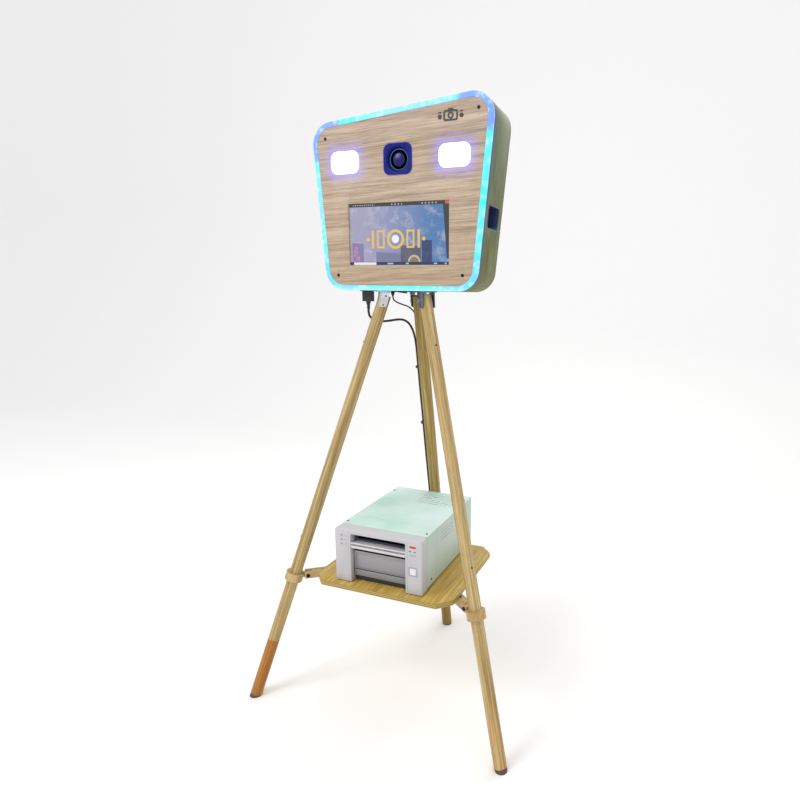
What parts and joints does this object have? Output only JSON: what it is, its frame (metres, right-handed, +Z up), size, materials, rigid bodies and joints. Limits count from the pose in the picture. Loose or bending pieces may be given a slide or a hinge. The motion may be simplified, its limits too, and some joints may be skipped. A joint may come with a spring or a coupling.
{
  "type": "photo booth",
  "caption": "Free-standing photo booth: lit wooden camera head with screen on a wooden tripod, with a tray that carries a photo printer and its cords.",
  "frame": {"origin": "on the floor, at the centre of the box round the three feet", "axes": "+Z up, +X to the right in front view, the screen faces -Y"},
  "size_m": [0.8322, 0.8078, 1.7242],
  "materials": {
    "oak_panel": "fine straight oak grain, satin",
    "oak_side": "oak laminate, satin",
    "light_band": "translucent, lit from inside",
    "led_light": "lit strip",
    "light_diffuser": "translucent, lit",
    "dark_window": "glossy dark acrylic",
    "lens_glass": "coated glass",
    "black_metal": "satin black",
    "black_plastic": "matt black",
    "screen_glass": "glossy display",
    "grey_metal": "brushed",
    "bright_steel": "brushed",
    "slate_metal": "satin",
    "navy_plastic": "moulded",
    "leg_wood": "golden with brown streaks, satin",
    "lower_leg_wood": "golden with brown streaks, satin",
    "collar_wood": "satin",
    "foot_rubber": "matt",
    "tray_wood": "bamboo grain, satin",
    "printer_sheet": "fine textured paint",
    "printer_plastic": "moulded, fine texture",
    "bin_plastic": "moulded",
    "paper": "smooth",
    "roller_rubber": "matt",
    "cord_rubber": "matt",
    "clip_plastic": "moulded"
  },
  "bodies": {
    "booth": {"shell": "oak_side", "light_frame": "light_band", "led_strip": "led_light", "front_panel": "oak_panel", "front_screws": "black_metal", "light_left": "light_diffuser", "light_right": "light_diffuser", "camera_window": "dark_window", "lens_barrel": "black_plastic", "lens_glass": "lens_glass", "camera_body": "black_plastic", "camera_bracket": "grey_metal", "screen": "screen_glass", "computer": "grey_metal", "power_supply": "grey_metal", "back_panel": "oak_side", "door_hinges": "bright_steel", "grip_left": "navy_plastic", "grip_right": "navy_plastic", "front_mark": "black_plastic", "power_inlet": "black_plastic", "switch_frame": "black_plastic", "cable_gland": "black_plastic", "leg_brackets": "slate_metal", "bracket_bolts": "bright_steel", "upper_leg_left": "leg_wood", "upper_leg_right": "leg_wood", "upper_leg_rear": "leg_wood", "lower_leg_left": "lower_leg_wood", "lower_leg_right": "lower_leg_wood", "lower_leg_rear": "lower_leg_wood", "foot_pads": "foot_rubber", "leg_screws": "bright_steel", "collars": "collar_wood", "tray_arms": "collar_wood", "tray_brackets": "black_metal", "arm_bolts": "black_metal", "tray": "tray_wood", "printer_base": "printer_sheet", "printer_cover": "printer_sheet", "printer_bezel": "printer_plastic", "print_mouth": "black_plastic", "output_ledge": "printer_plastic", "cover_screws": "bright_steel", "printer_back": "printer_sheet", "power_connector": "cord_rubber", "power_cord": "cord_rubber", "cord_coil": "cord_rubber", "mains_plug": "cord_rubber", "usb_cable": "cord_rubber", "usb_plug": "cord_rubber", "cable_clips": "clip_plastic"},
    "door": {"service_door": "oak_side", "door_pull": "black_plastic"},
    "focus_ring": {"lens_ring": "black_metal"},
    "rocker_switch": {"rocker": "black_plastic"},
    "bin": {"scrap_bin": "bin_plastic"},
    "button": {"power_button": "printer_plastic"},
    "paper": {"paper_roll": "paper"},
    "platen": {"platen_roller": "roller_rubber"}
  },
  "joints": [
    {"name": "door_hinge", "type": "hinge", "parent": "booth", "child": "door", "pos_m": [-0.1305, 0.0824, 1.45], "axis": [0, 0, 1], "range_deg": [0, 110]},
    {"name": "focus_turn", "type": "hinge", "parent": "booth", "child": "focus_ring", "pos_m": [0.004, -0.043, 1.577], "axis": [0, 1, 0], "range_deg": [-60, 60]},
    {"name": "rocker_tilt", "type": "hinge", "parent": "booth", "child": "rocker_switch", "pos_m": [-0.004, -0.041, 1.231], "axis": [0, 1, 0], "range_deg": [-14, 0]},
    {"name": "bin_slide", "type": "slide", "parent": "booth", "child": "bin", "axis": [0, -1, 0], "range_m": [0, 0.12]},
    {"name": "button_press", "type": "slide", "parent": "booth", "child": "button", "axis": [0, 1, 0], "range_m": [0, 0.002], "stiffness_N_per_m": 300},
    {"name": "paper_spin", "type": "hinge", "parent": "booth", "child": "paper", "pos_m": [0.003, 0.053, 0.482], "axis": [1, 0, 0], "continuous": true},
    {"name": "platen_spin", "type": "hinge", "parent": "booth", "child": "platen", "pos_m": [0.003, -0.097, 0.528], "axis": [1, 0, 0], "continuous": true}
  ],
  "couplings": [
    {"joint": "platen_spin", "follows": "paper_spin", "ratio": -5.3333}
  ]
}
